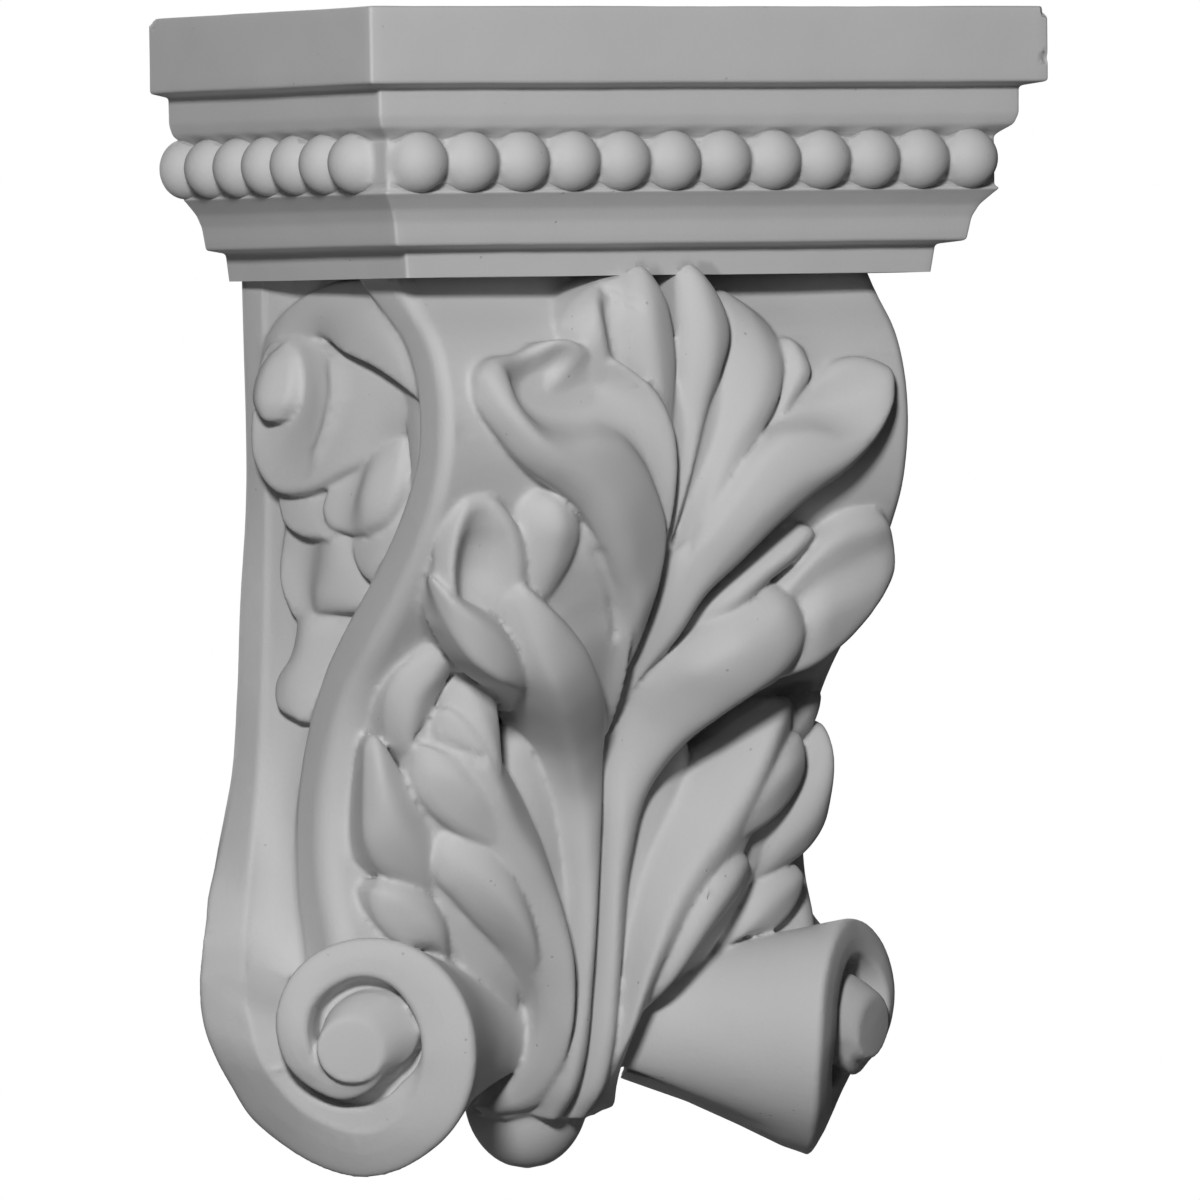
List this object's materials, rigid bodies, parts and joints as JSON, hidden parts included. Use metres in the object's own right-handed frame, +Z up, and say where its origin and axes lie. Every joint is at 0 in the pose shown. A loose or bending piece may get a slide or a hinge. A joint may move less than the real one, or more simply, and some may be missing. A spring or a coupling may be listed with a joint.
{
  "type": "corbel",
  "caption": "Wall corbel with a beaded cap, an acanthus leaf on its scrolled front and a pair of turned volutes at the foot.",
  "frame": {"origin": "middle of the flat back, half-way up the corbel, where it is fixed to the wall", "axes": "+X along the wall, +Y into the wall, so the front faces -Y, and +Z up"},
  "size_m": [0.204, 0.116, 0.3039],
  "materials": {
    "corbel": "matte light grey primer on a smooth casting"
  },
  "bodies": {
    "root": {"corbel": "corbel"}
  },
  "joints": []
}
